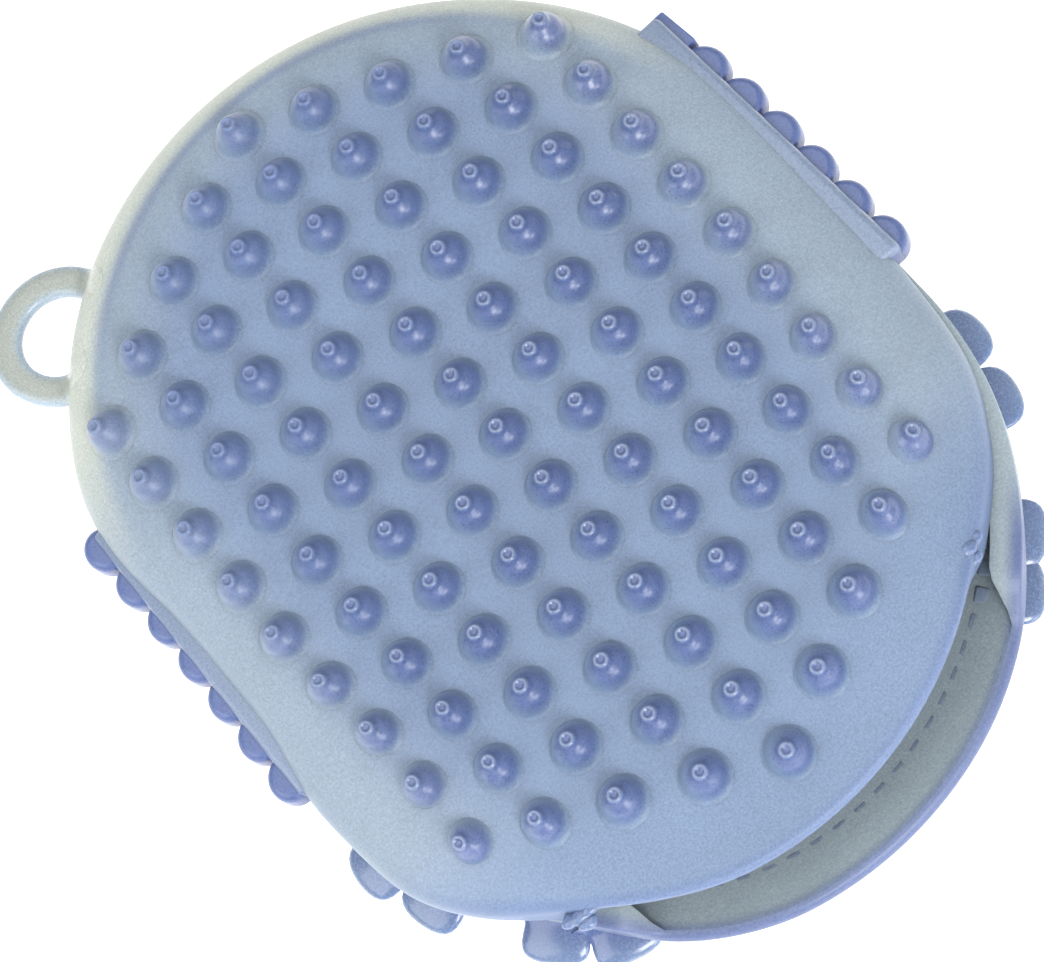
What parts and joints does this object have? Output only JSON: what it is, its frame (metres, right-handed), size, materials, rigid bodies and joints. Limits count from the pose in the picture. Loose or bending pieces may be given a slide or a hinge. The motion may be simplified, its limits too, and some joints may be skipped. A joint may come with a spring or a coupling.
{
  "type": "curry comb",
  "caption": "Two-sided soft grooming mitt: hand pocket, fine nubs on one face, long flexible fingers on the other, toothed side combs and a hanging loop.",
  "frame": {"origin": "centre of the mitt's bounding box in plan, on the plane that the coarse finger tips stand on", "axes": "+Y towards the closed fingertip end, -Y out of the hand mouth, +Z out of the fine-nub face, +X to the wearer's right as seen from above with the closed end away"},
  "size_m": [0.1396, 0.178, 0.0381],
  "materials": {
    "jelly_blue": "frosted soft translucent blue-grey",
    "jelly_pale": "frosted soft translucent, paler where it is a single layer",
    "jelly_deep": "smooth soft translucent deeper blue"
  },
  "bodies": {
    "mitt": {"fine_nub_half": "jelly_blue", "coarse_half": "jelly_pale"},
    "mouth_lip": {"mouth_lip": "jelly_blue"},
    "hanging_loop": {"hanging_loop": "jelly_pale"},
    "right_comb_strip": {"right_comb_strip": "jelly_blue"},
    "left_comb_strip": {"left_comb_strip": "jelly_blue"},
    "coarse_finger_1a": {"coarse_finger_1a": "jelly_deep"},
    "coarse_finger_1b": {"coarse_finger_1b": "jelly_deep"},
    "coarse_finger_1c": {"coarse_finger_1c": "jelly_deep"},
    "coarse_finger_1d": {"coarse_finger_1d": "jelly_deep"},
    "coarse_finger_2a": {"coarse_finger_2a": "jelly_deep"},
    "coarse_finger_2b": {"coarse_finger_2b": "jelly_deep"},
    "coarse_finger_2c": {"coarse_finger_2c": "jelly_deep"},
    "coarse_finger_3a": {"coarse_finger_3a": "jelly_deep"},
    "coarse_finger_3b": {"coarse_finger_3b": "jelly_deep"},
    "coarse_finger_3c": {"coarse_finger_3c": "jelly_deep"},
    "coarse_finger_3d": {"coarse_finger_3d": "jelly_deep"},
    "coarse_finger_4a": {"coarse_finger_4a": "jelly_deep"},
    "coarse_finger_4b": {"coarse_finger_4b": "jelly_deep"},
    "coarse_finger_4c": {"coarse_finger_4c": "jelly_deep"},
    "coarse_finger_5a": {"coarse_finger_5a": "jelly_deep"},
    "coarse_finger_5b": {"coarse_finger_5b": "jelly_deep"},
    "coarse_finger_5c": {"coarse_finger_5c": "jelly_deep"},
    "coarse_finger_5d": {"coarse_finger_5d": "jelly_deep"},
    "coarse_finger_6a": {"coarse_finger_6a": "jelly_deep"},
    "coarse_finger_6b": {"coarse_finger_6b": "jelly_deep"},
    "coarse_finger_6c": {"coarse_finger_6c": "jelly_deep"},
    "coarse_finger_7a": {"coarse_finger_7a": "jelly_deep"},
    "coarse_finger_7b": {"coarse_finger_7b": "jelly_deep"},
    "coarse_finger_7c": {"coarse_finger_7c": "jelly_deep"},
    "coarse_finger_7d": {"coarse_finger_7d": "jelly_deep"},
    "right_paddle_1": {"right_paddle_1": "jelly_deep"},
    "right_paddle_2": {"right_paddle_2": "jelly_deep"},
    "right_paddle_3": {"right_paddle_3": "jelly_deep"},
    "right_paddle_4": {"right_paddle_4": "jelly_deep"},
    "left_paddle_1": {"left_paddle_1": "jelly_deep"},
    "left_paddle_2": {"left_paddle_2": "jelly_deep"},
    "left_paddle_3": {"left_paddle_3": "jelly_deep"},
    "left_paddle_4": {"left_paddle_4": "jelly_deep"}
  },
  "joints": [
    {"name": "mouth_lip_lift", "type": "hinge", "parent": "mitt", "child": "mouth_lip", "pos_m": [0, -0.0685, 0.03125], "axis": [-1, 0, 0], "range_deg": [-15, 45], "stiffness_Nm_per_rad": 0.08},
    {"name": "hanging_loop_flex", "type": "hinge", "parent": "mitt", "child": "hanging_loop", "pos_m": [-0.0442, 0.07357, 0.023], "axis": [0.7361, 0.6769, 0], "range_deg": [-60, 60], "stiffness_Nm_per_rad": 0.05},
    {"name": "right_comb_flex", "type": "hinge", "parent": "mitt", "child": "right_comb_strip", "pos_m": [0.0653, 0.0125, 0.023], "axis": [0, 1, 0], "range_deg": [-25, 25], "stiffness_Nm_per_rad": 0.05},
    {"name": "left_comb_flex", "type": "hinge", "parent": "mitt", "child": "left_comb_strip", "pos_m": [-0.0653, 0.0125, 0.023], "axis": [0, 1, 0], "range_deg": [-25, 25], "stiffness_Nm_per_rad": 0.05},
    {"name": "finger_row_1_flex", "type": "hinge", "parent": "mitt", "child": "coarse_finger_1a", "pos_m": [-0.036, -0.047, 0.01095], "axis": [1, 0, 0], "range_deg": [-35, 35], "stiffness_Nm_per_rad": 0.03},
    {"name": "finger_1b_flex", "type": "hinge", "parent": "mitt", "child": "coarse_finger_1b", "pos_m": [-0.012, -0.047, 0.01095], "axis": [1, 0, 0], "range_deg": [-35, 35], "stiffness_Nm_per_rad": 0.03},
    {"name": "finger_1c_flex", "type": "hinge", "parent": "mitt", "child": "coarse_finger_1c", "pos_m": [0.012, -0.047, 0.01095], "axis": [1, 0, 0], "range_deg": [-35, 35], "stiffness_Nm_per_rad": 0.03},
    {"name": "finger_1d_flex", "type": "hinge", "parent": "mitt", "child": "coarse_finger_1d", "pos_m": [0.036, -0.047, 0.01095], "axis": [1, 0, 0], "range_deg": [-35, 35], "stiffness_Nm_per_rad": 0.03},
    {"name": "finger_row_2_flex", "type": "hinge", "parent": "mitt", "child": "coarse_finger_2a", "pos_m": [-0.024, -0.03, 0.01095], "axis": [1, 0, 0], "range_deg": [-35, 35], "stiffness_Nm_per_rad": 0.03},
    {"name": "finger_2b_flex", "type": "hinge", "parent": "mitt", "child": "coarse_finger_2b", "pos_m": [0, -0.03, 0.01095], "axis": [1, 0, 0], "range_deg": [-35, 35], "stiffness_Nm_per_rad": 0.03},
    {"name": "finger_2c_flex", "type": "hinge", "parent": "mitt", "child": "coarse_finger_2c", "pos_m": [0.024, -0.03, 0.01095], "axis": [1, 0, 0], "range_deg": [-35, 35], "stiffness_Nm_per_rad": 0.03},
    {"name": "finger_row_3_flex", "type": "hinge", "parent": "mitt", "child": "coarse_finger_3a", "pos_m": [-0.036, -0.013, 0.01095], "axis": [1, 0, 0], "range_deg": [-35, 35], "stiffness_Nm_per_rad": 0.03},
    {"name": "finger_3b_flex", "type": "hinge", "parent": "mitt", "child": "coarse_finger_3b", "pos_m": [-0.012, -0.013, 0.01095], "axis": [1, 0, 0], "range_deg": [-35, 35], "stiffness_Nm_per_rad": 0.03},
    {"name": "finger_3c_flex", "type": "hinge", "parent": "mitt", "child": "coarse_finger_3c", "pos_m": [0.012, -0.013, 0.01095], "axis": [1, 0, 0], "range_deg": [-35, 35], "stiffness_Nm_per_rad": 0.03},
    {"name": "finger_3d_flex", "type": "hinge", "parent": "mitt", "child": "coarse_finger_3d", "pos_m": [0.036, -0.013, 0.01095], "axis": [1, 0, 0], "range_deg": [-35, 35], "stiffness_Nm_per_rad": 0.03},
    {"name": "finger_row_4_flex", "type": "hinge", "parent": "mitt", "child": "coarse_finger_4a", "pos_m": [-0.024, 0.004, 0.01095], "axis": [1, 0, 0], "range_deg": [-35, 35], "stiffness_Nm_per_rad": 0.03},
    {"name": "finger_4b_flex", "type": "hinge", "parent": "mitt", "child": "coarse_finger_4b", "pos_m": [0, 0.004, 0.01095], "axis": [1, 0, 0], "range_deg": [-35, 35], "stiffness_Nm_per_rad": 0.03},
    {"name": "finger_4c_flex", "type": "hinge", "parent": "mitt", "child": "coarse_finger_4c", "pos_m": [0.024, 0.004, 0.01095], "axis": [1, 0, 0], "range_deg": [-35, 35], "stiffness_Nm_per_rad": 0.03},
    {"name": "finger_row_5_flex", "type": "hinge", "parent": "mitt", "child": "coarse_finger_5a", "pos_m": [-0.036, 0.021, 0.01095], "axis": [1, 0, 0], "range_deg": [-35, 35], "stiffness_Nm_per_rad": 0.03},
    {"name": "finger_5b_flex", "type": "hinge", "parent": "mitt", "child": "coarse_finger_5b", "pos_m": [-0.012, 0.021, 0.01095], "axis": [1, 0, 0], "range_deg": [-35, 35], "stiffness_Nm_per_rad": 0.03},
    {"name": "finger_5c_flex", "type": "hinge", "parent": "mitt", "child": "coarse_finger_5c", "pos_m": [0.012, 0.021, 0.01095], "axis": [1, 0, 0], "range_deg": [-35, 35], "stiffness_Nm_per_rad": 0.03},
    {"name": "finger_5d_flex", "type": "hinge", "parent": "mitt", "child": "coarse_finger_5d", "pos_m": [0.036, 0.021, 0.01095], "axis": [1, 0, 0], "range_deg": [-35, 35], "stiffness_Nm_per_rad": 0.03},
    {"name": "finger_row_6_flex", "type": "hinge", "parent": "mitt", "child": "coarse_finger_6a", "pos_m": [-0.024, 0.038, 0.01095], "axis": [1, 0, 0], "range_deg": [-35, 35], "stiffness_Nm_per_rad": 0.03},
    {"name": "finger_6b_flex", "type": "hinge", "parent": "mitt", "child": "coarse_finger_6b", "pos_m": [0, 0.038, 0.01095], "axis": [1, 0, 0], "range_deg": [-35, 35], "stiffness_Nm_per_rad": 0.03},
    {"name": "finger_6c_flex", "type": "hinge", "parent": "mitt", "child": "coarse_finger_6c", "pos_m": [0.024, 0.038, 0.01095], "axis": [1, 0, 0], "range_deg": [-35, 35], "stiffness_Nm_per_rad": 0.03},
    {"name": "finger_row_7_flex", "type": "hinge", "parent": "mitt", "child": "coarse_finger_7a", "pos_m": [-0.036, 0.055, 0.01095], "axis": [1, 0, 0], "range_deg": [-35, 35], "stiffness_Nm_per_rad": 0.03},
    {"name": "finger_7b_flex", "type": "hinge", "parent": "mitt", "child": "coarse_finger_7b", "pos_m": [-0.012, 0.055, 0.01095], "axis": [1, 0, 0], "range_deg": [-35, 35], "stiffness_Nm_per_rad": 0.03},
    {"name": "finger_7c_flex", "type": "hinge", "parent": "mitt", "child": "coarse_finger_7c", "pos_m": [0.012, 0.055, 0.01095], "axis": [1, 0, 0], "range_deg": [-35, 35], "stiffness_Nm_per_rad": 0.03},
    {"name": "finger_7d_flex", "type": "hinge", "parent": "mitt", "child": "coarse_finger_7d", "pos_m": [0.036, 0.055, 0.01095], "axis": [1, 0, 0], "range_deg": [-35, 35], "stiffness_Nm_per_rad": 0.03},
    {"name": "right_paddle_1_flex", "type": "hinge", "parent": "mitt", "child": "right_paddle_1", "pos_m": [0.05569, -0.03135, 0.01095], "axis": [-0.1045, -0.9945, 0], "range_deg": [-30, 25], "stiffness_Nm_per_rad": 0.03},
    {"name": "right_paddle_2_flex", "type": "hinge", "parent": "mitt", "child": "right_paddle_2", "pos_m": [0.05383, -0.04094, 0.01095], "axis": [-0.2756, -0.9613, 0], "range_deg": [-30, 25], "stiffness_Nm_per_rad": 0.03},
    {"name": "right_paddle_3_flex", "type": "hinge", "parent": "mitt", "child": "right_paddle_3", "pos_m": [0.0453, -0.05842, 0.01095], "axis": [-0.5878, -0.809, 0], "range_deg": [-30, 25], "stiffness_Nm_per_rad": 0.03},
    {"name": "right_paddle_4_flex", "type": "hinge", "parent": "mitt", "child": "right_paddle_4", "pos_m": [0.0389, -0.06578, 0.01095], "axis": [-0.7193, -0.6947, 0], "range_deg": [-30, 25], "stiffness_Nm_per_rad": 0.03},
    {"name": "left_paddle_1_flex", "type": "hinge", "parent": "mitt", "child": "left_paddle_1", "pos_m": [-0.05569, -0.03135, 0.01095], "axis": [-0.1045, 0.9945, 0], "range_deg": [-30, 25], "stiffness_Nm_per_rad": 0.03},
    {"name": "left_paddle_2_flex", "type": "hinge", "parent": "mitt", "child": "left_paddle_2", "pos_m": [-0.05383, -0.04094, 0.01095], "axis": [-0.2756, 0.9613, 0], "range_deg": [-30, 25], "stiffness_Nm_per_rad": 0.03},
    {"name": "left_paddle_3_flex", "type": "hinge", "parent": "mitt", "child": "left_paddle_3", "pos_m": [-0.0453, -0.05842, 0.01095], "axis": [-0.5878, 0.809, 0], "range_deg": [-30, 25], "stiffness_Nm_per_rad": 0.03},
    {"name": "left_paddle_4_flex", "type": "hinge", "parent": "mitt", "child": "left_paddle_4", "pos_m": [-0.0389, -0.06578, 0.01095], "axis": [-0.7193, 0.6947, 0], "range_deg": [-30, 25], "stiffness_Nm_per_rad": 0.03}
  ],
  "couplings": [
    {"joint": "finger_1b_flex", "follows": "finger_row_1_flex", "ratio": 1},
    {"joint": "finger_1c_flex", "follows": "finger_row_1_flex", "ratio": 1},
    {"joint": "finger_1d_flex", "follows": "finger_row_1_flex", "ratio": 1},
    {"joint": "finger_2b_flex", "follows": "finger_row_2_flex", "ratio": 1},
    {"joint": "finger_2c_flex", "follows": "finger_row_2_flex", "ratio": 1},
    {"joint": "finger_3b_flex", "follows": "finger_row_3_flex", "ratio": 1},
    {"joint": "finger_3c_flex", "follows": "finger_row_3_flex", "ratio": 1},
    {"joint": "finger_3d_flex", "follows": "finger_row_3_flex", "ratio": 1},
    {"joint": "finger_4b_flex", "follows": "finger_row_4_flex", "ratio": 1},
    {"joint": "finger_4c_flex", "follows": "finger_row_4_flex", "ratio": 1},
    {"joint": "finger_5b_flex", "follows": "finger_row_5_flex", "ratio": 1},
    {"joint": "finger_5c_flex", "follows": "finger_row_5_flex", "ratio": 1},
    {"joint": "finger_5d_flex", "follows": "finger_row_5_flex", "ratio": 1},
    {"joint": "finger_6b_flex", "follows": "finger_row_6_flex", "ratio": 1},
    {"joint": "finger_6c_flex", "follows": "finger_row_6_flex", "ratio": 1},
    {"joint": "finger_7b_flex", "follows": "finger_row_7_flex", "ratio": 1},
    {"joint": "finger_7c_flex", "follows": "finger_row_7_flex", "ratio": 1},
    {"joint": "finger_7d_flex", "follows": "finger_row_7_flex", "ratio": 1},
    {"joint": "right_paddle_2_flex", "follows": "right_paddle_1_flex", "ratio": 1},
    {"joint": "right_paddle_4_flex", "follows": "right_paddle_3_flex", "ratio": 1},
    {"joint": "left_paddle_2_flex", "follows": "left_paddle_1_flex", "ratio": 1},
    {"joint": "left_paddle_4_flex", "follows": "left_paddle_3_flex", "ratio": 1}
  ]
}
